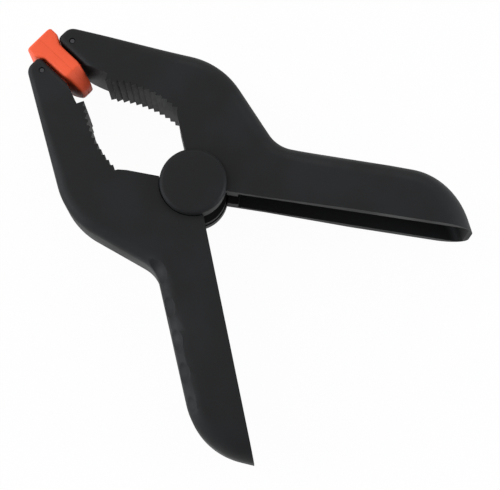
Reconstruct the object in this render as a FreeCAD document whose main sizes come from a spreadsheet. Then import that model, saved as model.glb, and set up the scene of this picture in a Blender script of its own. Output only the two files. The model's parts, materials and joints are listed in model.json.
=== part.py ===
import FreeCAD, Part
import math
import os

import Sketcher
from FreeCAD import Vector

# A hand spring clamp lying flat on its side.
# Z runs along the hinge axis, X from the hinge to the jaws, Y across the jaws.
# The origin is on the hinge axis, in the plane of the lower hub disc and the lower faces of both handles.
# The outer arm has its jaw and handle at negative Y, the inner arm at positive Y.

doc = FreeCAD.newDocument("spring_clamp")

# Driving dimensions, in millimetres and degrees
SIZES = [
    # Thickness along the hinge axis
    ("full_width", 28.0),
    ("arm_width", 23.0),
    ("flare_start", 22.0),
    ("flare_end", 48.0),
    # Jaw outline, as distances from the hinge axis
    ("tip_reach", 72.3),
    ("tip_outer", 10.7),
    ("tip_inner", 4.6),
    ("elbow_reach", 24.1),
    ("elbow_height", 39.4),
    # Handle outline, along the handle and outwards from its centre line
    ("handle_angle", 33.05),
    ("handle_back", 19.45),
    ("neck_along", 26.4),
    ("heel_along", 90.2),
    ("end_along", 99.3),
    ("end_out", 1.5),
    ("rim_drop", 1.2),
    # Roundings of the outline and of its long edges
    ("tip_outer_round", 4.0),
    ("tip_inner_round", 1.6),
    ("elbow_round", 28.0),
    ("neck_round", 12.0),
    ("heel_round", 25.0),
    ("jaw_edge_round", 2.0),
    ("elbow_edge_round", 5.0),
    ("handle_edge_round", 6.0),
    ("end_edge_round", 10.0),
    # Throat and teeth
    ("throat_reach", 20.0),
    ("throat_height", 12.9),
    ("tooth_arc_reach", 22.0),
    ("tooth_arc_drop", 25.0),
    ("tooth_arc_radius", 40.4),
    ("tooth_depth", 1.1),
    ("tooth_start", -2.0),
    ("tooth_pitch", 3.4),
    ("tooth_lean", 0.72),
    ("relief_reach", 58.4),
    ("relief_depth", 2.4),
    # Handle channel
    ("wall", 2.6),
    ("channel_start", 16.0),
    ("channel_heel", 88.8),
    ("channel_end", 103.0),
    ("channel_drop", 8.0),
    # Grip dimples on the rounded back edges of the handles
    ("dimple_radius", 8.0),
    ("dimple_depth", 0.7),
    ("dimple_pitch", 11.7),
    ("dimple_first", 29.0),
    # Hub
    ("hub_radius", 11.8),
    ("hub_clearance", 0.3),
    ("cheek", 2.6),
    ("cheek_radius", 11.4),
    ("coil_room_radius", 10.3),
    ("collar_radius", 5.9),
    ("collar_height", 2.4),
    ("disc_edge_round", 1.6),
    # Hinge pin
    ("pin_radius", 3.0),
    ("pin_clearance", 0.06),
    ("pin_head_radius", 5.4),
    ("pin_head_height", 1.6),
    ("pin_skin", 1.8),
    ("pin_chamfer", 0.3),
    # Torsion spring
    ("wire_radius", 1.1),
    ("coil_radius", 7.6),
    ("coil_rise", 9.2),
    ("full_turns", 2.0),
    ("leg_spread", 10.8),
    ("leg_length", 42.0),
    # Jaw pads and their pins
    ("pad_pin_reach", 67.5),
    ("pad_pin_height", 7.6),
    ("pad_pin_radius", 1.1),
    ("pad_pin_recess", 0.3),
    ("pad_bore_clearance", 0.06),
    ("fork_width", 10.0),
    ("fork_floor", 6.5),
    ("fork_clearance", 0.3),
    ("pad_width", 22.0),
    ("pad_gap", 0.1),
    ("pad_thickness", 3.7),
    ("pad_lip_height", 5.8),
    ("pad_lip_thickness", 4.0),
    ("pad_front", 9.8),
    ("pad_back", 6.9),
    ("pad_tail", 7.2),
    ("pad_tail_width", 14.0),
    ("pad_tail_thickness", 2.4),
    ("pad_ear_radius", 3.3),
    ("pad_edge_round", 0.8),
]

TOOTH_COUNT = 12
DIMPLE_COUNT = 5
BIARCS_PER_TURN = 2
EASE_SHARE = 0.06
LEAST_WIRE_GAP = 0.4

# Two points nearer than this are one point
NEAR = 0.01

sheet = doc.addObject("Spreadsheet::Sheet", "Sizes")
for row, (alias, value) in enumerate(SIZES, start=1):
    sheet.set(f"A{row}", alias)
    sheet.set(f"B{row}", str(value))
    sheet.setAlias(f"B{row}", alias)
doc.recompute()
ALIASES = {alias for alias, value in SIZES}

# Levels above or below the middle plane, the same on both sides of it
MIDDLE = "full_width / 2"
HUB_INNER = "(arm_width / 2 - wall)"
CHEEK_OUTER = "(arm_width / 2 - wall - hub_clearance)"
CHEEK_INNER = "(arm_width / 2 - wall - hub_clearance - cheek)"


def cells(expression):
    """Puts the sheet's name before every alias in an expression."""
    out = []
    word = ""
    for letter in expression + " ":
        if letter.isalnum() or letter == "_":
            word += letter
            continue
        out.append("Sizes." + word if word in ALIASES else word)
        out.append(letter)
        word = ""
    return "".join(out).strip()


def bind(item, name, expression):
    """Ties a property to the driving dimensions."""
    item.setExpression(name, cells(expression))


def number(expression):
    """The value of an expression of driving dimensions."""
    value = sheet.evalExpression(cells(expression))
    return float(value.Value if hasattr(value, "Value") else value)


# Helpers for bodies and sketches


def new_body(name):
    """A body whose own middle plane lies half the clamp's thickness above the ground."""
    body = doc.addObject("PartDesign::Body", name)
    bind(body, "Placement.Base.z", MIDDLE)
    return body


def sketch_on(body, name, role="XY_Plane"):
    """A sketch on an origin plane of its own body."""
    sketch = body.newObject("Sketcher::SketchObject", name)
    origin_plane = next(item for item in body.Origin.OriginFeatures if item.Role == role)
    sketch.AttachmentSupport = [(origin_plane, "")]
    sketch.MapMode = "FlatFace"
    return sketch


def hold(sketch, kind, places, expression):
    """Adds one constraint and ties its value to the driving dimensions."""
    index = sketch.addConstraint(Sketcher.Constraint(kind, *places, number(expression)))
    bind(sketch, f"Constraints[{index}]", expression)


def polygon(sketch, corners):
    """A closed outline whose corners are pairs of expressions."""
    first = len(sketch.Geometry)
    points = [Vector(number(x), number(y), 0) for x, y in corners]
    count = len(points)
    for i in range(count):
        sketch.addGeometry(Part.LineSegment(points[i], points[(i + 1) % count]), False)
    for i in range(count):
        following = first + (i + 1) % count
        sketch.addConstraint(Sketcher.Constraint("Coincident", first + i, 2, following, 1))
    for i, (x, y) in enumerate(corners):
        hold(sketch, "DistanceX", (-1, 1, first + i, 1), x)
        hold(sketch, "DistanceY", (-1, 1, first + i, 1), y)


def circle(sketch, x, y, radius):
    """A circle whose centre and radius are expressions."""
    index = len(sketch.Geometry)
    centre = Vector(number(x), number(y), 0)
    sketch.addGeometry(Part.Circle(centre, Vector(0, 0, 1), number(radius)), False)
    hold(sketch, "DistanceX", (-1, 1, index, 3), x)
    hold(sketch, "DistanceY", (-1, 1, index, 3), y)
    hold(sketch, "Radius", (index,), radius)


def pad(body, sketch, length):
    """Material on both sides of the sketch."""
    feature = body.newObject("PartDesign::Pad", sketch.Name + "_pad")
    feature.Profile = sketch
    feature.SideType = "Symmetric"
    bind(feature, "Length", length)
    doc.recompute()
    return feature


def pocket(body, sketch, length):
    """A cut on both sides of the sketch. It has to remove something."""
    doc.recompute()
    before = body.Shape.Volume
    feature = body.newObject("PartDesign::Pocket", sketch.Name + "_pocket")
    feature.Profile = sketch
    feature.SideType = "Symmetric"
    bind(feature, "Length", length)
    doc.recompute()
    if body.Shape.Volume > before - NEAR:
        raise RuntimeError(f"{sketch.Name} removed nothing")
    return feature


def edges_where(shape, test):
    """Names of the edges whose two ends both pass a test."""
    names = []
    for i, edge in enumerate(shape.Edges, start=1):
        ends = [vertex.Point for vertex in edge.Vertexes]
        if len(ends) == 2 and all(test(end) for end in ends):
            names.append(f"Edge{i}")
    return names


def round_edges(body, name, radius, test):
    """Rounds the edges of a body whose two ends both pass a test."""
    base = body.Tip
    edges = edges_where(base.Shape, test)
    if not edges:
        raise RuntimeError(f"{name}: no such edge")
    feature = body.newObject("PartDesign::Fillet", name)
    feature.Base = (base, edges)
    bind(feature, "Radius", radius)
    doc.recompute()
    return feature


def round_corner(body, name, corner, radius):
    """Rounds the upright edge at one corner of an outline."""
    x, y = number(corner[0]), number(corner[1])
    return round_edges(body, name, radius, lambda end: math.hypot(end.x - x, end.y - y) < NEAR)


# Helpers for plain solids and booleans


def cylinder(name, radius, bottom, height, x="0", y="0"):
    """An upright cylinder whose bottom is measured from the middle plane."""
    item = doc.addObject("Part::Cylinder", name)
    bind(item, "Radius", radius)
    bind(item, "Height", height)
    bind(item, "Placement.Base.x", x)
    bind(item, "Placement.Base.y", y)
    bind(item, "Placement.Base.z", f"{MIDDLE} + {bottom}")
    return item


def sphere(name, radius, x, y, z):
    """A ball whose centre height is measured from the middle plane."""
    item = doc.addObject("Part::Sphere", name)
    bind(item, "Radius", radius)
    bind(item, "Placement.Base.x", x)
    bind(item, "Placement.Base.y", y)
    bind(item, "Placement.Base.z", f"{MIDDLE} + {z}")
    return item


def joined(name, items):
    """One solid out of several that overlap."""
    item = doc.addObject("Part::MultiFuse", name)
    item.Shapes = items
    item.Refine = True
    doc.recompute()
    return item


def cut(name, base, tools):
    """A solid with several others taken out of it."""
    item = doc.addObject("Part::Cut", name)
    item.Base = base
    item.Tool = joined(name + "_tools", tools)
    item.Refine = True
    doc.recompute()
    return item


# Arms


def handle_point(along, out, side):
    """A corner given along the handle from the hinge and outwards from the handle's centre line."""
    x = f"({out}) * sin(handle_angle) - ({along}) * cos(handle_angle)"
    y = f"{side} * (({along}) * sin(handle_angle) + ({out}) * cos(handle_angle))"
    return x, y


def arc_point(steps, rise, side):
    """A point near the arc on which the teeth stand, a number of tooth pitches along it."""
    radius = f"(tooth_arc_radius + ({rise}))"
    angle = f"(tooth_start + ({steps}) * tooth_pitch)"
    return f"tooth_arc_reach + {radius} * sin({angle})", f"{side} * ({radius} * cos({angle}) - tooth_arc_drop)"


def tooth_corners(side):
    """Roots and tips of the teeth by turns. Each tip leans towards the jaw's end."""
    corners = []
    for i in range(TOOTH_COUNT):
        corners.append(arc_point(f"{i} + tooth_lean", "-tooth_depth / 2", side))
        corners.append(arc_point(f"{i + 1}", "tooth_depth / 2", side))
    return corners


def arm_corners(side):
    """Side outline of an arm: hinge, throat, teeth, relief, jaw tip, elbow, neck, heel, handle end."""
    block_x, block_y = arc_point(f"{TOOTH_COUNT} + tooth_lean", "0", side)
    return [
        ("0", "0"),
        ("throat_reach", f"{side} * throat_height"),
        *tooth_corners(side),
        (block_x, block_y),
        (f"{block_x} + relief_depth / 2", f"{block_y} + {side} * relief_depth"),
        ("relief_reach", f"{side} * tip_inner"),
        *tip_corners(side),
        ("elbow_reach", f"{side} * elbow_height"),
        handle_point("neck_along", "handle_back", side),
        handle_point("heel_along", "handle_back", side),
        handle_point("end_along", "end_out", side),
        handle_point("0", "-rim_drop", side),
    ]


def tip_corners(side):
    return [("tip_reach", f"{side} * tip_inner"), ("tip_reach", f"{side} * tip_outer")]


def cut_side(body, name, up, profile):
    """Cuts one side of a body back to a profile given as reach and distance from the middle plane."""
    sketch = sketch_on(body, name, "XZ_Plane")
    beyond = f"{up} * full_width"
    corners = [(x, f"{up} * ({z})") for x, z in profile]
    polygon(sketch, [*corners, (profile[-1][0], beyond), (profile[0][0], beyond)])
    pocket(body, sketch, "4 * end_along")


def arm_block(name, side):
    """The arm as one solid piece, before its long edges are rounded."""
    body = new_body(name + "_block")
    outline = sketch_on(body, name + "_outline")
    polygon(outline, arm_corners(side))
    pad(body, outline, "full_width")
    tip_inner, tip_outer = tip_corners(side)
    for corner_name, corner, radius in (
        ("tip_outer", tip_outer, "tip_outer_round"),
        ("tip_inner", tip_inner, "tip_inner_round"),
        ("elbow", ("elbow_reach", f"{side} * elbow_height"), "elbow_round"),
        ("neck", handle_point("neck_along", "handle_back", side), "neck_round"),
        ("heel", handle_point("heel_along", "handle_back", side), "heel_round"),
    ):
        round_corner(body, f"{name}_{corner_name}", corner, radius)
    widening = [
        ("2 * tip_reach", "arm_width / 2"),
        ("-flare_start", "arm_width / 2"),
        ("-flare_end", "full_width / 2"),
    ]
    cut_side(body, name + "_top", 1, widening)
    cut_side(body, name + "_bottom", -1, widening)
    return body


def between(x, table):
    """Straight-line value between listed pairs."""
    for (x0, y0), (x1, y1) in zip(table, table[1:]):
        if x <= x1:
            return y0 + (y1 - y0) * max(0.0, x - x0) / (x1 - x0)
    return table[-1][1]


def rounded_block(name, block, side):
    """Rounds both long edges of the arm's back, little at the jaw and most at the handle's end."""
    heel_x = handle_point("heel_along", "handle_back", side)[0]
    radii = [
        (number(f"{heel_x} - heel_round / 2"), number("end_edge_round")),
        (number(f"{heel_x} + heel_round / 3"), number("handle_edge_round")),
        (number("-neck_along"), number("handle_edge_round")),
        (number("elbow_reach"), number("elbow_edge_round")),
        (number("tip_reach - tip_outer"), number("jaw_edge_round")),
    ]
    far = handle_point("end_along", "handle_back / 8", 1)
    middle_line = [
        (number(far[0]), number(far[1])),
        (number("-handle_back"), number("handle_back")),
        (number("handle_back"), number("elbow_height / 2")),
        (number("tip_reach"), number("tip_inner + tip_inner_round / 2")),
    ]
    edges = []
    for i, edge in enumerate(block.Shape.Edges, start=1):
        middle = edge.valueAt((edge.FirstParameter + edge.LastParameter) / 2)
        ends = [vertex.Point for vertex in edge.Vertexes]
        outermost = abs(middle.z - number(MIDDLE)) > number("arm_width") / 2 - NEAR
        lengthwise = abs(ends[0].z - ends[-1].z) < number("full_width - arm_width") / 2 + NEAR
        crossing = abs(middle.x - ends[0].x) < NEAR and middle.x < number("tip_reach") - NEAR
        at_back = side * middle.y > between(middle.x, middle_line)
        if outermost and lengthwise and at_back and not crossing:
            edges.append((i, between(ends[0].x, radii), between(ends[-1].x, radii)))
    item = doc.addObject("Part::Fillet", name)
    item.Base = block
    item.Edges = edges
    doc.recompute()
    return item


def channel_core(name, side):
    """The hollow of the handle, open towards the other handle."""
    body = new_body(name + "_channel")
    outline = sketch_on(body, name + "_channel_outline")
    inner_back = "handle_back - wall"
    heel = handle_point("channel_heel", inner_back, side)
    polygon(
        outline,
        [
            handle_point("channel_start", "-channel_drop", side),
            handle_point("channel_start", inner_back, side),
            heel,
            handle_point("channel_end", "-channel_drop", side),
        ],
    )
    pad(body, outline, "full_width - 2 * wall")
    round_corner(body, name + "_channel_heel", heel, "heel_round - wall")
    widening = [
        ("0", "arm_width / 2 - wall"),
        ("-end_along", "full_width / 2 - wall"),
    ]
    cut_side(body, name + "_channel_top", 1, widening)
    cut_side(body, name + "_channel_bottom", -1, widening)
    return body


def rounded_core(name, core):
    """Rounds the two long edges at the bottom of the channel, so that the wall is even all round."""
    radius = number("handle_edge_round - wall")
    start = number("channel_start + wall")
    angle = math.radians(number("handle_angle"))
    edges = []
    for i, edge in enumerate(core.Shape.Edges, start=1):
        middle = edge.valueAt((edge.FirstParameter + edge.LastParameter) / 2)
        ends = [vertex.Point for vertex in edge.Vertexes]
        along = abs(middle.y) * math.sin(angle) - middle.x * math.cos(angle)
        out = abs(middle.y) * math.cos(angle) + middle.x * math.sin(angle)
        side_edge = abs(ends[0].z - ends[-1].z) < number("full_width - arm_width") / 2 + NEAR
        if side_edge and along > start and out > number("end_out"):
            edges.append((i, radius, radius))
    item = doc.addObject("Part::Fillet", name)
    item.Base = core
    item.Edges = edges
    doc.recompute()
    return item


def leg_slot(name, side):
    """The way from the coil's room into the handle channel, as high as the room itself."""
    body = new_body(name + "_slot")
    outline = sketch_on(body, name + "_slot_outline")
    polygon(
        outline,
        [
            handle_point("0", "-channel_drop", side),
            handle_point("0", "coil_room_radius", side),
            handle_point("channel_start + wall", "handle_back - wall", side),
            handle_point("channel_start + wall", "-channel_drop", side),
        ],
    )
    pad(body, outline, f"2 * {CHEEK_INNER}")
    return body


def fork_slot(name, side):
    """The slot in the jaw tip that takes the pad's ear."""
    body = new_body(name + "_fork")
    outline = sketch_on(body, name + "_fork_outline")
    beyond = "2 * tip_reach"
    polygon(
        outline,
        [
            ("pad_pin_reach - fork_floor", "0"),
            (beyond, "0"),
            (beyond, f"{side} * elbow_height"),
            ("pad_pin_reach - fork_floor", f"{side} * elbow_height"),
        ],
    )
    pad(body, outline, "fork_width")
    return body


def dimples(name, side):
    """Shallow finger marks along both rounded edges of the handle's back."""
    items = []
    lift = "(handle_edge_round + dimple_radius - dimple_depth) / sqrt(2)"
    for i in range(DIMPLE_COUNT):
        along = f"dimple_first + {i} * dimple_pitch"
        x, y = handle_point(along, f"handle_back - handle_edge_round + {lift}", side)
        share = f"min(1; max(0; (-({x}) - flare_start) / (flare_end - flare_start)))"
        half = f"(arm_width + (full_width - arm_width) * {share}) / 2"
        for up in (1, -1):
            height = f"{up} * ({half} - handle_edge_round + {lift})"
            items.append(sphere(f"{name}_dimple_{i}_{'top' if up > 0 else 'bottom'}", "dimple_radius", x, y, height))
    return items


def pad_pin_hole(name, side, radius):
    return cylinder(name, radius, "-full_width", "2 * full_width", "pad_pin_reach", f"{side} * pad_pin_height")


def hub_disc(name, bottom):
    """One of the two outermost hub discs, with a rounded outer edge."""
    disc = cylinder(name + "_blank", "hub_radius", bottom, f"full_width / 2 - {HUB_INNER}")
    doc.recompute()
    outer = number("full_width") if not bottom.startswith("-") else 0.0
    item = doc.addObject("Part::Fillet", name)
    item.Base = disc
    item.Edges = [
        (i, number("disc_edge_round"), number("disc_edge_round"))
        for i, edge in enumerate(disc.Shape.Edges, start=1)
        if all(abs(vertex.Point.z - outer) < NEAR for vertex in edge.Vertexes)
    ]
    doc.recompute()
    return item


def outer_arm():
    """The arm whose two discs close the hub from outside."""
    name, side = "outer_arm", -1
    block = rounded_block(name + "_rounded", arm_block(name, side), side)
    room = "hub_radius + hub_clearance"
    hollow = cylinder(name + "_hub_room", room, f"-{HUB_INNER}", f"2 * {HUB_INNER}")
    around = cylinder(name + "_hub_centre", "hub_radius", f"-{HUB_INNER}", f"2 * {HUB_INNER}")
    top = hub_disc(name + "_top_disc", HUB_INNER)
    bottom = hub_disc(name + "_bottom_disc", "-full_width / 2")
    solid = joined(name + "_solid", [block, around, top, bottom])
    pin_height = "full_width - pin_skin"
    tools = [
        hollow,
        cylinder(name + "_pin_bore", "pin_radius", "-full_width / 2", pin_height),
        cylinder(name + "_head_bore", "pin_head_radius", "-full_width / 2", "pin_head_height"),
        rounded_core(name + "_channel_rounded", channel_core(name, side)),
        leg_slot(name, side),
        fork_slot(name, side),
        pad_pin_hole(name + "_pad_pin_bore", side, "pad_pin_radius"),
    ]
    return cut(name, solid, tools)


def inner_arm():
    """The arm whose two cheeks turn between the other arm's discs, with the spring's coil between them."""
    name, side = "inner_arm", 1
    block = rounded_block(name + "_rounded", arm_block(name, side), side)
    recess = "hub_radius + hub_clearance"
    hollowed = cut(
        name + "_hollowed",
        block,
        [
            cylinder(name + "_recess_top", recess, CHEEK_OUTER, "full_width"),
            cylinder(name + "_recess_bottom", recess, f"-{CHEEK_OUTER} - full_width", "full_width"),
            cylinder(name + "_coil_room", "coil_room_radius", f"-{CHEEK_INNER}", f"2 * {CHEEK_INNER}"),
            rounded_core(name + "_channel_rounded", channel_core(name, side)),
            leg_slot(name, side),
            fork_slot(name, side),
            *dimples(name, side),
        ],
    )
    cheeks = [
        cylinder(name + "_cheek_top", "cheek_radius", CHEEK_INNER, "cheek"),
        cylinder(name + "_cheek_bottom", "cheek_radius", f"-{CHEEK_OUTER}", "cheek"),
        cylinder(name + "_collar_top", "collar_radius", f"{CHEEK_INNER} - collar_height", "cheek + collar_height"),
        cylinder(name + "_collar_bottom", "collar_radius", f"-{CHEEK_OUTER}", "cheek + collar_height"),
    ]
    solid = joined(name + "_solid", [hollowed, *cheeks])
    tools = [
        cylinder(name + "_pin_bore", "pin_radius + pin_clearance", "-full_width", "2 * full_width"),
        pad_pin_hole(name + "_pad_pin_bore", side, "pad_pin_radius"),
    ]
    return cut(name, solid, tools)


# Pins


def turned(name, corners, x="0", y="0"):
    """A body of revolution from half its section, drawn as distance from the axis and height."""
    body = new_body(name)
    bind(body, "Placement.Base.x", x)
    bind(body, "Placement.Base.y", y)
    section = sketch_on(body, name + "_section", "XZ_Plane")
    polygon(section, corners)
    feature = body.newObject("PartDesign::Revolution", name + "_turn")
    feature.Profile = section
    feature.ReferenceAxis = (section, ["V_Axis"])
    feature.Angle = 360
    doc.recompute()
    return body


def hinge_pin():
    """The pin through the hub, with its flat head let into the lower disc."""
    bottom = "-full_width / 2"
    top = "full_width / 2 - pin_skin"
    return turned(
        "hinge_pin",
        [
            ("0", bottom),
            ("pin_head_radius - pin_chamfer", bottom),
            ("pin_head_radius", f"{bottom} + pin_chamfer"),
            ("pin_head_radius", f"{bottom} + pin_head_height"),
            ("pin_radius", f"{bottom} + pin_head_height"),
            ("pin_radius", f"{top} - pin_chamfer"),
            ("pin_radius - pin_chamfer", top),
            ("0", top),
        ],
    )


def pad_pin(name, side):
    """A plain pin across the jaw tip, a little shorter than the jaw is wide."""
    end = "(arm_width / 2 - pad_pin_recess)"
    return turned(
        name,
        [
            ("0", f"-{end}"),
            ("pad_pin_radius - pin_chamfer", f"-{end}"),
            ("pad_pin_radius", f"-{end} + pin_chamfer"),
            ("pad_pin_radius", f"{end} - pin_chamfer"),
            ("pad_pin_radius - pin_chamfer", end),
            ("0", end),
        ],
        "pad_pin_reach",
        f"{side} * pad_pin_height",
    )


# Jaw pads


def jaw_pad(name, side):
    """A plate with a lip at the jaw's end, a narrower tail towards the teeth and an ear round the pin."""
    body = new_body(name)
    face = f"{side} * pad_gap / 2"
    back = f"{side} * pad_thickness"
    lip = f"{side} * pad_lip_height"
    lip_reach = "pad_pin_reach + pad_front - pad_lip_thickness"
    plate = sketch_on(body, name + "_plate")
    polygon(
        plate,
        [
            ("pad_pin_reach - pad_back", face),
            ("pad_pin_reach + pad_front", face),
            ("pad_pin_reach + pad_front", lip),
            (lip_reach, lip),
            ("pad_pin_reach + pad_ear_radius", back),
            ("pad_pin_reach - pad_back", back),
        ],
    )
    pad(body, plate, "pad_width")
    for corner_name, corner in (
        ("face", ("pad_pin_reach + pad_front", face)),
        ("lip", ("pad_pin_reach + pad_front", lip)),
        ("hook", (lip_reach, lip)),
        ("back", ("pad_pin_reach - pad_back", back)),
    ):
        round_corner(body, f"{name}_{corner_name}", corner, "pad_edge_round")
    tail = sketch_on(body, name + "_tail")
    polygon(
        tail,
        [
            ("pad_pin_reach - pad_back + pad_thickness", face),
            ("pad_pin_reach - pad_back + pad_thickness", back),
            ("pad_pin_reach - pad_back", back),
            ("pad_pin_reach - pad_back - pad_tail", f"{side} * pad_tail_thickness"),
            ("pad_pin_reach - pad_back - pad_tail", face),
        ],
    )
    pad(body, tail, "pad_tail_width")
    pin_y = f"{side} * pad_pin_height"
    neck = sketch_on(body, name + "_ear_neck")
    polygon(
        neck,
        [
            ("pad_pin_reach - pad_ear_radius", pin_y),
            ("pad_pin_reach - pad_ear_radius - pad_edge_round", f"{back} - {side} * pad_edge_round"),
            ("pad_pin_reach + pad_ear_radius + pad_edge_round", f"{back} - {side} * pad_edge_round"),
            ("pad_pin_reach + pad_ear_radius", pin_y),
        ],
    )
    pad(body, neck, "fork_width - 2 * fork_clearance")
    ear = sketch_on(body, name + "_ear")
    circle(ear, "pad_pin_reach", pin_y, "pad_ear_radius")
    pad(body, ear, "fork_width - 2 * fork_clearance")
    bore = sketch_on(body, name + "_bore")
    circle(bore, "pad_pin_reach", pin_y, "pad_pin_radius + pad_bore_clearance")
    pocket(body, bore, "full_width")
    return body


# Torsion spring


def spring_point(share):
    """The wire's middle on the coil and its direction there, from the outer arm's leg (0) to the inner arm's (1)."""
    radius = number("coil_radius")
    rise = number("coil_rise")
    first, last = coil_angles()
    angle = first + (last - first) * share
    if share < EASE_SHARE:
        climbed = share * share / (2 * EASE_SHARE)
        slope = share / EASE_SHARE
    elif share > 1 - EASE_SHARE:
        climbed = 1 - EASE_SHARE - (1 - share) ** 2 / (2 * EASE_SHARE)
        slope = (1 - share) / EASE_SHARE
    else:
        climbed = share - EASE_SHARE / 2
        slope = 1
    height = number(MIDDLE) - rise / 2 + rise * climbed / (1 - EASE_SHARE)
    point = Vector(radius * math.cos(angle), radius * math.sin(angle), height)
    along = radius * (last - first)
    up = rise * slope / (1 - EASE_SHARE)
    direction = Vector(-math.sin(angle) * along, math.cos(angle) * along, up).normalize()
    return point, direction


def coil_angles():
    """Where the coil begins and ends. Each leg leaves it at a right angle to the line from the hinge."""
    leaving = math.radians(90 - number("handle_angle") - number("leg_spread"))
    return -leaving, 2 * math.pi * number("full_turns") + leaving


def arc_from(start, corner, end):
    """The arc that leaves its start towards a corner and reaches its end coming from there."""
    chord_middle = (start + end) * 0.5
    lean = (end - start).Length / 2 / (corner - start).Length
    if lean > 1 - 1e-9:
        return Part.LineSegment(start, end)
    return Part.Arc(start, chord_middle + (corner - chord_middle) * (lean / (1 + lean)), end)


def biarc(start, end):
    """Two arcs that join two points and keep their directions."""
    (p0, t0), (p1, t1) = start, end
    chord = p1 - p0
    turn = 2 * (1 - t0.dot(t1))
    reach = chord.dot(t0 + t1)
    side = (-reach + math.sqrt(reach * reach + turn * chord.dot(chord))) / turn
    corner0 = p0 + t0 * side
    corner1 = p1 - t1 * side
    joint = (corner0 + corner1) * 0.5
    return [arc_from(p0, corner0, joint), arc_from(joint, corner1, p1)]


def least_wire_gap():
    """The least distance from the wire to itself, measured between points at least half a turn apart."""
    turns = number("full_turns") + 0.5
    count = int(180 * turns)
    points = [spring_point(i / count)[0] for i in range(count + 1)]
    apart = int(count / turns / 2)
    least = min(
        points[i].distanceToPoint(points[j])
        for i in range(len(points))
        for j in range(i + apart, len(points))
    )
    return least - 2 * number("wire_radius")


def torsion_spring():
    """One unbroken wire: a straight leg, the coil and the other leg."""
    first, last = coil_angles()
    steps = round(BIARCS_PER_TURN * (last - first) / (2 * math.pi))
    stations = [spring_point(i / steps) for i in range(steps + 1)]
    length = number("leg_length")
    start_point, start_direction = stations[0]
    end_point, end_direction = stations[-1]
    pieces = [Part.LineSegment(start_point - start_direction * length, start_point)]
    for before, after in zip(stations, stations[1:]):
        pieces += biarc(before, after)
    pieces.append(Part.LineSegment(end_point, end_point + end_direction * length))
    path = Part.Wire([piece.toShape() for piece in pieces])
    section = Part.Circle(start_point - start_direction * length, start_direction, number("wire_radius"))
    shell = path.makePipeShell([Part.Wire([section.toShape()])], True, False)
    gap = least_wire_gap()
    print(f"torsion_spring: least gap of the wire to itself {gap:.2f} mm")
    if gap < LEAST_WIRE_GAP:
        raise RuntimeError("the turns of the spring are too close")
    item = doc.addObject("Part::Feature", "torsion_spring")
    item.Shape = shell if shell.ShapeType == "Solid" else Part.Solid(shell)
    return item


NODES = {
    "outer_arm": outer_arm,
    "inner_arm": inner_arm,
    "hinge_pin": hinge_pin,
    "torsion_spring": torsion_spring,
    "outer_jaw_pad": lambda: jaw_pad("outer_jaw_pad", -1),
    "inner_jaw_pad": lambda: jaw_pad("inner_jaw_pad", 1),
    "outer_pad_pin": lambda: pad_pin("outer_pad_pin", -1),
    "inner_pad_pin": lambda: pad_pin("inner_pad_pin", 1),
}

os.makedirs("parts", exist_ok=True)
pieces = {}
for node, make in NODES.items():
    pieces[node] = make()
    pieces[node].Label = node
doc.recompute()

for item in doc.Objects:
    if "Invalid" in item.State or "Error" in item.State:
        raise RuntimeError(f"{item.Name} did not build")

for node, item in pieces.items():
    shape = item.Shape
    if shape.isNull() or not shape.isValid() or len(shape.Solids) != 1:
        raise RuntimeError(f"{node} is not one valid solid")
    shape.exportStep(f"parts/{node}.step")
    box = shape.BoundBox
    print(f"{node}: {box.XLength:.2f} x {box.YLength:.2f} x {box.ZLength:.2f} mm, {shape.Volume:.0f} mm3")
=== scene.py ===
# %% [markdown]
# A black hand spring clamp with orange jaw pads, lying on its side on a white table.
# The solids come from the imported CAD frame: two moulded arms, two pads, three pins and a spring.
# This script gives each its finish, rounds the pads and the spring's wire, and sets up light and camera.

# %% Load the frame
import json
import math

import bmesh
import bpy
import numpy as np
from mathutils import Matrix, Vector


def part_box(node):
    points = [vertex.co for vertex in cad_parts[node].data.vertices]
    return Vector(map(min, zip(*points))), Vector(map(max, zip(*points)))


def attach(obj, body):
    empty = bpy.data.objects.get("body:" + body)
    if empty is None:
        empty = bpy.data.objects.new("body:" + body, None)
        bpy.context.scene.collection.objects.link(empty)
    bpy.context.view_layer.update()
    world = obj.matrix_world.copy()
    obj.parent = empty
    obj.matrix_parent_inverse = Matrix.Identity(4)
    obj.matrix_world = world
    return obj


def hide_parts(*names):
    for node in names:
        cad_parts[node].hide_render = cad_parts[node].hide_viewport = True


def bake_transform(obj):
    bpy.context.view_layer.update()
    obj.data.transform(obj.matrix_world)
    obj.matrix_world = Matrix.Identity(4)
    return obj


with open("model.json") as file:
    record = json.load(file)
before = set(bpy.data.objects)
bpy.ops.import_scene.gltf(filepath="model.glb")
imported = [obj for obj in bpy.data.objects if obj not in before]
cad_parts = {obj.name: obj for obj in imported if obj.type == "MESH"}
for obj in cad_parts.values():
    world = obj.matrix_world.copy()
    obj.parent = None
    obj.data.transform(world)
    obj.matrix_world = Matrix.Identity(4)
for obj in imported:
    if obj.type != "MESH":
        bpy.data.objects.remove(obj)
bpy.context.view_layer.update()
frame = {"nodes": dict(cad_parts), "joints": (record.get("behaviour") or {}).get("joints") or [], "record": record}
print("nodes:", sorted(frame["nodes"]))

# %% Units
MM = 0.001
JOINTS = {joint["name"]: joint for joint in frame["joints"]}

# %% [markdown]
# Plastic mouldings and turned steel look wrong with perfectly flat shading on their round faces, and just as
# wrong when everything is smooth. The CAD mesh comes as loose triangles, face by face. A copy is merged, so
# that neighbouring faces share their corners, and every edge that bends more than a set angle stays crisp.


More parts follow.
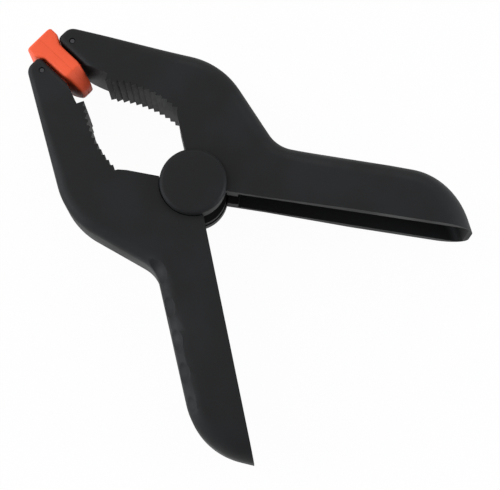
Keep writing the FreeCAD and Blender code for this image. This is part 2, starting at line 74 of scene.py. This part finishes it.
# %% A merged copy of a CAD node
def merged_copy(node, crisp_deg):
    """A copy of a CAD node's mesh with shared corners, smooth but for edges that bend more than crisp_deg."""
    mesh = frame["nodes"][node].data.copy()
    work = bmesh.new()
    work.from_mesh(mesh)
    bmesh.ops.remove_doubles(work, verts=work.verts, dist=0.002 * MM)
    bmesh.ops.dissolve_degenerate(work, edges=work.edges, dist=0.001 * MM)
    work.to_mesh(mesh)
    work.free()
    mesh.name = node + "_skin"
    mesh.materials.clear()
    if "custom_normal" in mesh.attributes:
        mesh.attributes.remove(mesh.attributes["custom_normal"])
    mesh.polygons.foreach_set("use_smooth", np.ones(len(mesh.polygons), bool))
    mesh.set_sharp_from_angle(angle=math.radians(crisp_deg))
    skin = bpy.data.objects.new(node + "_skin", mesh)
    bpy.context.scene.collection.objects.link(skin)
    print(f"{skin.name}: {len(mesh.vertices)} corners, {len(mesh.polygons)} faces")
    return skin


BODY_OF = {node: body for body, nodes in frame["record"]["behaviour"]["bodies"].items() for node in nodes}


def dress(node, material, crisp_deg=32):
    """Shows a merged copy in place of a CAD node, riding on the same body, in one finish."""
    skin = merged_copy(node, crisp_deg)
    skin.data.materials.append(material)
    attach(skin, BODY_OF[node])
    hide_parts(node)
    return skin


# %% [markdown]
# Black glass-filled nylon isn't one flat black. The mould is spark-eroded, so the skin has a very fine grain,
# and where hands rub it the grain is polished a little. A group holds both effects: a bump height for the
# grain and a mask for the polish, and each material decides what to do with them.


# %% Shader helpers
def group_socket(group, name, kind, way, value=None):
    """Adds a socket to a shader group, with a default if one is given."""
    socket = group.interface.new_socket(name=name, in_out=way, socket_type=kind)
    if value is not None:
        socket.default_value = value
    return socket


def node(tree, kind, **settings):
    """Adds a node to a tree and sets its properties and input values by name."""
    made = tree.nodes.new(kind)
    for name, value in settings.items():
        if hasattr(made, name):
            setattr(made, name, value)
        else:
            made.inputs[name.replace("_", " ").title()].default_value = value
    return made


# %% Moulded grain group
def moulded_grain_group():
    """Grain height from fine noise, and a slow mask that marks where hands have polished the skin."""
    group = bpy.data.node_groups.new("moulded_grain", "ShaderNodeTree")
    group_socket(group, "Grain Scale", "NodeSocketFloat", "INPUT", 2600.0)
    group_socket(group, "Height", "NodeSocketFloat", "OUTPUT")
    group_socket(group, "Polish", "NodeSocketFloat", "OUTPUT")
    start = group.nodes.new("NodeGroupInput")
    end = group.nodes.new("NodeGroupOutput")
    place = node(group, "ShaderNodeTexCoord")
    grain = node(group, "ShaderNodeTexNoise", detail=3.0, roughness=0.6)
    hands = node(group, "ShaderNodeTexNoise", scale=55.0, detail=2.0, roughness=0.5)
    spread = node(group, "ShaderNodeMapRange")
    spread.inputs["From Min"].default_value = 0.42
    spread.inputs["From Max"].default_value = 0.66
    link = group.links.new
    link(place.outputs["Object"], grain.inputs["Vector"])
    link(place.outputs["Object"], hands.inputs["Vector"])
    link(start.outputs["Grain Scale"], grain.inputs["Scale"])
    link(grain.outputs["Fac"], end.inputs["Height"])
    link(hands.outputs["Fac"], spread.inputs["Value"])
    link(spread.outputs["Result"], end.inputs["Polish"])
    return group


GRAIN = moulded_grain_group()


# %% Materials from the grain group
def moulded_plastic(name, dark, light, rough_low, rough_high, specular, grain_scale, grain_depth):
    """Moulded plastic: two close colours by the polish mask, grain as bump, roughness between two values."""
    material = bpy.data.materials.new(name)
    material.use_nodes = True
    tree = material.node_tree
    shader = tree.nodes["Principled BSDF"]
    shader.inputs["Specular IOR Level"].default_value = specular
    link = tree.links.new
    grain = tree.nodes.new("ShaderNodeGroup")
    grain.node_tree = GRAIN
    grain.inputs["Grain Scale"].default_value = grain_scale
    colour = tree.nodes.new("ShaderNodeMix")
    colour.data_type = "RGBA"
    colour.inputs["A"].default_value = (*dark, 1)
    colour.inputs["B"].default_value = (*light, 1)
    rough = tree.nodes.new("ShaderNodeMapRange")
    rough.inputs["To Min"].default_value = rough_high
    rough.inputs["To Max"].default_value = rough_low
    bump = tree.nodes.new("ShaderNodeBump")
    bump.inputs["Strength"].default_value = 0.6
    bump.inputs["Distance"].default_value = grain_depth
    link(grain.outputs["Polish"], colour.inputs["Factor"])
    link(grain.outputs["Polish"], rough.inputs["Value"])
    link(grain.outputs["Height"], bump.inputs["Height"])
    link(colour.outputs["Result"], shader.inputs["Base Color"])
    link(rough.outputs["Result"], shader.inputs["Roughness"])
    link(bump.outputs["Normal"], shader.inputs["Normal"])
    return material


NYLON = moulded_plastic(
    "black_nylon", (0.0090, 0.0090, 0.0094), (0.0108, 0.0112, 0.0120), 0.5, 0.62, 0.13, 2600.0, 0.03 * MM
)
PAD_ORANGE = moulded_plastic(
    "orange_pad", (0.80, 0.096, 0.035), (0.84, 0.108, 0.042), 0.45, 0.58, 0.22, 1800.0, 0.03 * MM
)


# %% [markdown]
# The pins are cut from drawn steel wire. Drawing leaves hair-fine lines along the wire, so the noise for
# roughness is stretched along the pins' axis.


# %% Steel
def drawn_steel(name, colour, rough_low, rough_high):
    """Metal with roughness from noise that is stretched along Z, as the lines of drawn wire are."""
    material = bpy.data.materials.new(name)
    material.use_nodes = True
    tree = material.node_tree
    shader = tree.nodes["Principled BSDF"]
    shader.inputs["Metallic"].default_value = 1.0
    place = tree.nodes.new("ShaderNodeTexCoord")
    stretch = tree.nodes.new("ShaderNodeMapping")
    stretch.inputs["Scale"].default_value = (1.0, 1.0, 0.05)
    lines = tree.nodes.new("ShaderNodeTexNoise")
    lines.inputs["Scale"].default_value = 5200.0
    tint = tree.nodes.new("ShaderNodeMix")
    tint.data_type = "RGBA"
    tint.inputs["A"].default_value = (*colour, 1)
    tint.inputs["B"].default_value = (*[0.86 * part for part in colour], 1)
    rough = tree.nodes.new("ShaderNodeMapRange")
    rough.inputs["To Min"].default_value = rough_low
    rough.inputs["To Max"].default_value = rough_high
    link = tree.links.new
    link(place.outputs["Object"], stretch.inputs["Vector"])
    link(stretch.outputs["Vector"], lines.inputs["Vector"])
    link(lines.outputs["Fac"], tint.inputs["Factor"])
    link(lines.outputs["Fac"], rough.inputs["Value"])
    link(tint.outputs["Result"], shader.inputs["Base Color"])
    link(rough.outputs["Result"], shader.inputs["Roughness"])
    return material


PIN_STEEL = drawn_steel("pin_steel", (0.05, 0.05, 0.053), 0.3, 0.48)
SPRING_STEEL = drawn_steel("spring_steel", (0.30, 0.30, 0.31), 0.28, 0.48)

# %% [markdown]
# Each rigid piece now gets its skin. Nylon and pads keep edges over 32 degrees crisp, the steel pins 25.

# %% Dress the rigid pieces
for arm in ("outer_arm", "inner_arm"):
    dress(arm, NYLON)
for pin in ("hinge_pin", "outer_pad_pin", "inner_pad_pin"):
    dress(pin, PIN_STEEL, crisp_deg=25)

# %% [markdown]
# A pad has a thick head at the jaw's end, a waist, and a nose that slants down towards the teeth on both sides,
# so that it falls into shade. One long surface holds all of that: a stack of rounded rectangles along X whose
# thickness and height follow two short formulas. The ear in the jaw's slot stays as the CAD copy has it.

# %% Sizes of a pad, from its CAD node
pad_low, pad_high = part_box("inner_jaw_pad")
PIN_X = JOINTS["inner_pad_hinge"]["pos_m"][0]
pad_middle = (pad_low.z + pad_high.z) / 2
pad_half_height = (pad_high.z - pad_low.z) / 2
HEAD_THICKNESS = 5.8 * MM
WAIST_THICKNESS = 3.7 * MM
NOSE_THICKNESS = 2.3 * MM
TAPER_LENGTH = 7.7 * MM
HEAD_LENGTH = 3.4 * MM
HEAD_SLOPE = 4.2 * MM
NOSE_LENGTH = 6.4 * MM
NOSE_TIP_HEIGHT = 3.0 * MM
NOSE_SETBACK = 0.1 * MM
NOSE_BEND = 1.25
END_ROUND = 1.1 * MM
EAR_REACH = 3.4 * MM
nose_end = pad_low.x + NOSE_SETBACK
print(f"pad from {nose_end / MM:.1f} to {pad_high.x / MM:.1f} mm, half height {pad_half_height / MM:.1f} mm")


# %% Thickness and height of a pad along X
def smooth(share):
    """Goes from 0 to 1 with level ends: 3 s^2 - 2 s^3, held outside."""
    share = np.clip(share, 0, 1)
    return share * share * (3 - 2 * share)


def pad_thickness(x):
    """Waist thickness, growing by a smooth step to the head, shrinking evenly to the nose."""
    head = smooth((x - (pad_high.x - HEAD_LENGTH - HEAD_SLOPE)) / HEAD_SLOPE)
    taper = np.clip((nose_end + TAPER_LENGTH - x) / TAPER_LENGTH, 0, 1)
    grown = (HEAD_THICKNESS - WAIST_THICKNESS) * head
    return WAIST_THICKNESS + grown - (WAIST_THICKNESS - NOSE_THICKNESS) * taper


def pad_height(x):
    """Half height: full, then (1 - s^b)^(1/b) of the rest over the nose (b = 2 an ellipse, 1 a line)."""
    back = np.clip((nose_end + NOSE_LENGTH - x) / NOSE_LENGTH, 0, 1)
    return NOSE_TIP_HEIGHT + (pad_half_height - NOSE_TIP_HEIGHT) * (1 - back**NOSE_BEND) ** (1 / NOSE_BEND)


def end_inset(x):
    """How far the rounded ends draw the section in: r - sqrt(r^2 - d^2), at the depth d into the rounding."""
    into_head = np.clip(x - (pad_high.x - END_ROUND), 0, END_ROUND)
    into_nose = np.clip(nose_end + END_ROUND - x, 0, END_ROUND)
    depth = np.maximum(into_head, into_nose)
    return END_ROUND - np.sqrt(END_ROUND**2 - depth**2)


# %% The pad's surface
FACE_GAP = 0.02 * MM
FACE_ROUND = 0.02 * MM
BACK_ROUND = 1.1 * MM
ARC_POINTS = 7
CORNERS = (
    (1, 1, BACK_ROUND, 0),
    (-1, 1, FACE_ROUND, 90),
    (-1, -1, FACE_ROUND, 180),
    (1, -1, BACK_ROUND, 270),
)
FACE_SHARE = 0.05


def pad_stations():
    """Places along X, close together in the rounded ends and the nose: even steps of a cosine there."""
    bend = (1 - np.cos(np.linspace(0, math.pi / 2, 12))) * END_ROUND
    nose = np.linspace(nose_end + END_ROUND, nose_end + NOSE_LENGTH, 24)[1:]
    body = np.linspace(nose_end + NOSE_LENGTH, pad_high.x - END_ROUND, 30)[1:]
    return np.concatenate([nose_end + bend, nose, body, (pad_high.x - bend)[::-1][1:]])


def pad_rings(side):
    """Rings of the pad: at each X a rectangle with corner arcs, centre + r (cos a, sin a), in Y and Z."""
    x = pad_stations()
    inset = end_inset(x)
    near, far = FACE_GAP + inset * FACE_SHARE, pad_thickness(x) - inset
    half = pad_height(x) - inset
    rings = []
    for out, up, radius, start in CORNERS:
        angle = np.radians(start + np.linspace(0, 90, ARC_POINTS))
        edge = far if out > 0 else near
        centre_y, centre_z = edge - out * radius, up * (half - radius)
        rings.append(
            np.stack(
                [
                    np.repeat(x[:, None], ARC_POINTS, axis=1),
                    side * (centre_y[:, None] + radius * np.cos(angle)),
                    pad_middle + centre_z[:, None] + radius * np.sin(angle),
                ],
                axis=-1,
            )
        )
    return np.concatenate(rings, axis=1)


def grid_faces(rows, columns, flip):
    """Quads between neighbouring rings, closed round each ring, with a face on both ends."""
    row, column = np.meshgrid(np.arange(rows - 1), np.arange(columns), indexing="ij")
    following = (column + 1) % columns
    here, above = row * columns, (row + 1) * columns
    corners = [here + column, here + following, above + following, above + column]
    faces = np.stack(corners[::-1] if flip else corners, axis=-1).reshape(-1, 4).tolist()
    last = (rows - 1) * columns
    first_cap, last_cap = list(range(columns)), list(range(last, last + columns))
    return faces + [first_cap if flip else first_cap[::-1], last_cap[::-1] if flip else last_cap]


# %% Ear from the CAD copy, body from the rings
def is_ear(point):
    """True for places on the ear: near the pin's X and clear of the waist."""
    return abs(point.x - PIN_X) < EAR_REACH and abs(point.y) > WAIST_THICKNESS + FACE_GAP


def dress_pad(jaw_pad, side):
    """Shows a pad as the ringed surface with the ear of its CAD copy."""
    skin = merged_copy(jaw_pad, 32)
    work = bmesh.new()
    work.from_mesh(skin.data)
    rest = [face for face in work.faces if not is_ear(face.calc_center_median())]
    bmesh.ops.delete(work, geom=rest, context="FACES")
    rings = pad_rings(side)
    body = bpy.data.meshes.new("pad_body")
    body.from_pydata(rings.reshape(-1, 3).tolist(), [], grid_faces(rings.shape[0], rings.shape[1], side < 0))
    work.from_mesh(body)
    bpy.data.meshes.remove(body)
    work.to_mesh(skin.data)
    work.free()
    skin.data.polygons.foreach_set("use_smooth", np.ones(len(skin.data.polygons), bool))
    skin.data.set_sharp_from_angle(angle=math.radians(32))
    skin.data.materials.append(PAD_ORANGE)
    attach(skin, BODY_OF[jaw_pad])
    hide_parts(jaw_pad)
    print(f"{skin.name}: {len(skin.data.polygons)} faces after rounding")


dress_pad("outer_jaw_pad", -1)
dress_pad("inner_jaw_pad", 1)

# %% [markdown]
# The torsion spring winds tighter as the clamp opens: one leg stays with each arm. A wire swept along a
# formula has a smooth round skin and even facets.

# %% Sizes of the spring, from its CAD node
spring_low, spring_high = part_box("torsion_spring")
wire_radius = 1.1 * MM
coil_radius = 7.6 * MM
coil_low = spring_low.z + wire_radius
coil_high = spring_high.z - wire_radius
FULL_TURNS = 2
HANDLE_ANGLE = math.radians(33.05)
LEG_SPREAD = math.radians(10.8)
LEG_LENGTH = 42.0 * MM
EASE = 0.06
print(f"coil from {coil_low / MM:.2f} to {coil_high / MM:.2f} mm")


# %% The wire as a tube along a formula
def eased_climb(share):
    """Height share along the coil: level at both ends, even in between."""
    low = share**2 / (2 * EASE)
    high = 1 - EASE - (1 - share) ** 2 / (2 * EASE)
    return np.where(share < EASE, low, np.where(share > 1 - EASE, high, share - EASE / 2)) / (1 - EASE)


def spring_path():
    """Points along the wire: a leg, the coil (radius times cos and sin of a growing angle), a leg."""
    leaving = math.pi / 2 - HANDLE_ANGLE - LEG_SPREAD
    angle_share = np.linspace(0, 1, 64 * FULL_TURNS)
    angle = -leaving + (2 * math.pi * FULL_TURNS + 2 * leaving) * angle_share
    height = coil_low + (coil_high - coil_low) * eased_climb(angle_share)
    coil = np.stack([coil_radius * np.cos(angle), coil_radius * np.sin(angle), height], axis=1)
    reach = np.linspace(0, 1, 16)[1:, None] * LEG_LENGTH
    first_way = np.array([math.sin(-leaving), -math.cos(-leaving), 0.0])
    last_way = np.array([-math.sin(leaving), math.cos(leaving), 0.0])
    return np.concatenate([(coil[0] + reach * first_way)[::-1], coil, coil[-1] + reach * last_way])


def tube(name, path, radius, sides=16):
    """A round tube: ring j is the path's point j plus radius times cos and sin across its direction."""
    along = np.gradient(path, axis=0)
    along /= np.linalg.norm(along, axis=1, keepdims=True)
    across = np.cross(along, [0.0, 0.0, 1.0])
    across /= np.linalg.norm(across, axis=1, keepdims=True)
    upward = np.cross(across, along)
    turn = np.linspace(0, 2 * math.pi, sides, endpoint=False)
    ring = np.cos(turn)[None, :, None] * across[:, None] + np.sin(turn)[None, :, None] * upward[:, None]
    points = (path[:, None] + radius * ring).reshape(-1, 3)
    row, column = np.meshgrid(np.arange(len(path) - 1), np.arange(sides), indexing="ij")
    nearby = (column + 1) % sides
    here, above = row * sides, (row + 1) * sides
    corners = [here + column, above + column, above + nearby, here + nearby]
    faces = np.stack(corners, axis=-1).reshape(-1, 4).tolist()
    caps = [list(range(sides)), list(range(len(points) - 1, len(points) - sides - 1, -1))]
    mesh = bpy.data.meshes.new(name)
    mesh.from_pydata(points.tolist(), [], faces + caps)
    mesh.polygons.foreach_set("use_smooth", np.ones(len(mesh.polygons), bool))
    mesh.set_sharp_from_angle(angle=math.radians(40))
    mesh.update()
    made = bpy.data.objects.new(name, mesh)
    bpy.context.scene.collection.objects.link(made)
    print(f"{name}: {len(mesh.polygons)} faces")
    return made


spring = tube("spring_wire", spring_path(), wire_radius)
spring.data.materials.append(SPRING_STEEL)
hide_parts("torsion_spring")
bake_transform(spring)

# %% [markdown]
# The clamp was photographed on a white ground. The floor is white to the camera through a Light Path node,
# mixed with a plain matt paint that takes the clamp's soft shadow.


# %% Rays that show the background
def background_rays(tree):
    """1 for camera, glossy and transmission rays, so that the eye and every reflection see the same white."""
    path = tree.nodes.new("ShaderNodeLightPath")
    total = path.outputs["Is Camera Ray"]
    for kind in ("Is Glossy Ray", "Is Transmission Ray"):
        larger = tree.nodes.new("ShaderNodeMath")
        larger.operation = "MAXIMUM"
        tree.links.new(total, larger.inputs[0])
        tree.links.new(path.outputs[kind], larger.inputs[1])
        total = larger.outputs["Value"]
    return total


# %% Floor
def white_floor(size, share_plain):
    """A white floor: mostly even white for the camera, the rest matt paint that shows the shadow."""
    mesh = bpy.data.meshes.new("floor")
    half, low = size / 2, 0.05 * MM
    corners = [(-half, -half, -low), (half, -half, -low), (half, half, -low), (-half, half, -low)]
    mesh.from_pydata(corners, [], [(0, 1, 2, 3)])
    floor = bpy.data.objects.new("floor", mesh)
    bpy.context.scene.collection.objects.link(floor)
    material = bpy.data.materials.new("white_table")
    material.use_nodes = True
    tree = material.node_tree
    shader = tree.nodes["Principled BSDF"]
    shader.inputs["Base Color"].default_value = (0.78, 0.78, 0.78, 1)
    shader.inputs["Roughness"].default_value = 0.9
    shader.inputs["Specular IOR Level"].default_value = 0.0
    white = tree.nodes.new("ShaderNodeEmission")
    share = tree.nodes.new("ShaderNodeMath")
    share.operation = "MULTIPLY"
    share.inputs[1].default_value = share_plain
    mix = tree.nodes.new("ShaderNodeMixShader")
    link = tree.links.new
    link(background_rays(tree), share.inputs[0])
    link(share.outputs["Value"], mix.inputs["Fac"])
    link(shader.outputs["BSDF"], mix.inputs[1])
    link(white.outputs["Emission"], mix.inputs[2])
    link(mix.outputs["Shader"], tree.nodes["Material Output"].inputs["Surface"])
    mesh.materials.append(material)
    return floor


white_floor(8.0, 0.97)


# %% [markdown]
# Black plastic shows its shape only in what it mirrors. Two large soft lamps from above light the flat sides.
# Two low, slightly cool ones catch the rounded edges, the dimples and the handle's tip. None of them stands
# where the flat sides would mirror it into the camera.


# %% World and lamps
def soft_world(level):
    """An even light from all round. The camera sees it as white."""
    world = bpy.data.worlds.new("studio")
    bpy.context.scene.world = world
    world.use_nodes = True
    tree = world.node_tree
    background = tree.nodes["Background"]
    background.inputs["Color"].default_value = (1, 1, 1, 1)
    strength = tree.nodes.new("ShaderNodeMapRange")
    strength.inputs["To Min"].default_value = level
    strength.inputs["To Max"].default_value = 1.0
    tree.links.new(background_rays(tree), strength.inputs["Value"])
    tree.links.new(strength.outputs["Result"], background.inputs["Strength"])


def softbox(name, place, aim, width, length, power, tint):
    """A rectangular lamp at place that shines towards aim."""
    light = bpy.data.lights.new(name, "AREA")
    light.shape = "RECTANGLE"
    light.size, light.size_y = width, length
    light.energy = power
    light.color = tint
    lamp = bpy.data.objects.new(name, light)
    bpy.context.scene.collection.objects.link(lamp)
    lamp.location = place
    lamp.rotation_euler = (Vector(aim) - Vector(place)).to_track_quat("-Z", "Y").to_euler()
    return lamp


# %% [markdown]
# The camera looks down at the clamp, 12 degrees off the vertical, and is held level. Its direction,
# distance and aim are set from the numbers below, in the object's own units.

# %% Camera
PHOTO_WIDTH, PHOTO_HEIGHT = 500, 490
SCALE = 0.3567 * MM
HUB_IN_PHOTO = (194.4, 190.5)
LOOK_AZIMUTH = math.radians(136.3)
LOOK_DOWN = math.radians(77.9)
DISTANCE = 0.5
MIDDLE_HEIGHT = 14.0 * MM

ahead = Vector((math.sin(LOOK_AZIMUTH), math.cos(LOOK_AZIMUTH), 0))
look = ahead * math.cos(LOOK_DOWN) + Vector((0, 0, -math.sin(LOOK_DOWN)))
right = Vector((ahead.y, -ahead.x, 0))
up = right.cross(look)
hub = Vector((0, 0, MIDDLE_HEIGHT))
hub_right = (HUB_IN_PHOTO[0] - PHOTO_WIDTH / 2) * SCALE
hub_up = (PHOTO_HEIGHT / 2 - HUB_IN_PHOTO[1]) * SCALE
eye = hub - right * hub_right - up * hub_up - look * DISTANCE

camera_data = bpy.data.cameras.new("camera")
camera_data.sensor_width = 36.0
camera_data.lens = camera_data.sensor_width * DISTANCE / (PHOTO_WIDTH * SCALE)
camera_data.clip_start, camera_data.clip_end = 0.01, 50.0
camera = bpy.data.objects.new("camera", camera_data)
bpy.context.scene.collection.objects.link(camera)
camera.location = eye
camera.rotation_mode = "QUATERNION"
camera.rotation_quaternion = Matrix((right, up, -look)).transposed().to_quaternion()
bpy.context.scene.camera = camera
print(f"camera: lens {camera_data.lens:.0f} mm at {tuple(round(x, 3) for x in eye)} m")

# %% Lights
soft_world(0.3)
clamp_middle = hub - right * 0.01
HIGH, LOW = 0.45, 0.16
WHITE, COOL = (1, 1, 1), (0.88, 0.95, 1.0)
for name, to_right, to_top, height, width, length, power, tint in (
    ("left_box", -0.6, 0.25, HIGH, 0.3, 0.5, 2.9, WHITE),
    ("far_box", 0.15, 0.65, HIGH, 0.5, 0.3, 1.9, WHITE),
    ("low_left_box", -0.7, -0.2, LOW, 0.3, 0.5, 5.5, COOL),
    ("rim_box", 0.7, -0.1, LOW, 0.3, 0.5, 5.0, COOL),
):
    place = clamp_middle + right * to_right + up * to_top + Vector((0, 0, height))
    softbox(name, place, clamp_middle, width, length, power, tint)
    print(f"{name}: {power} W")
bpy.context.scene.view_settings.view_transform = "Standard"
